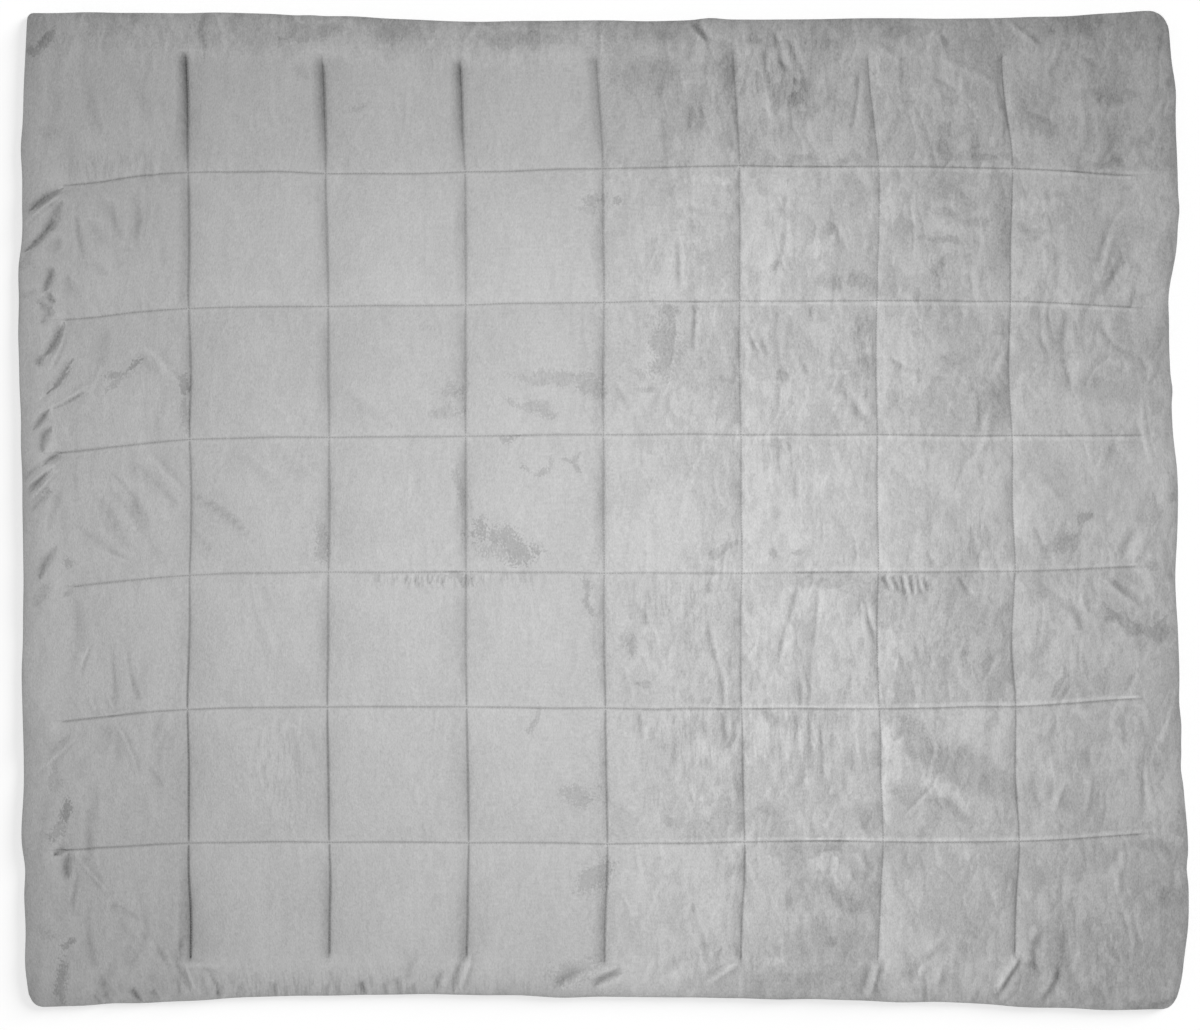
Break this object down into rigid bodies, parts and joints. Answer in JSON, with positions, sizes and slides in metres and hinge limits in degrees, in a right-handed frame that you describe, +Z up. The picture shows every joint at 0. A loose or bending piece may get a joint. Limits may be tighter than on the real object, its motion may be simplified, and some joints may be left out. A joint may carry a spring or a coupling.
{
  "type": "quilted plush blanket",
  "caption": "Plush throw blanket lying flat: a soft filled rectangle quilted in a grid of shallow cells, with an unquilted border gathered into small folds and a turned, rounded edge.",
  "frame": {"origin": "middle of the blanket's box, on the surface that it lies on", "axes": "+X along the long side, +Y along the short side, +Z up from the surface through the plush face"},
  "size_m": [1.5248, 1.2984, 0.019],
  "materials": {
    "plush": "short dense grey plush with a brushed nap"
  },
  "bodies": {
    "root": {"quilted_blanket": "plush"}
  },
  "joints": []
}
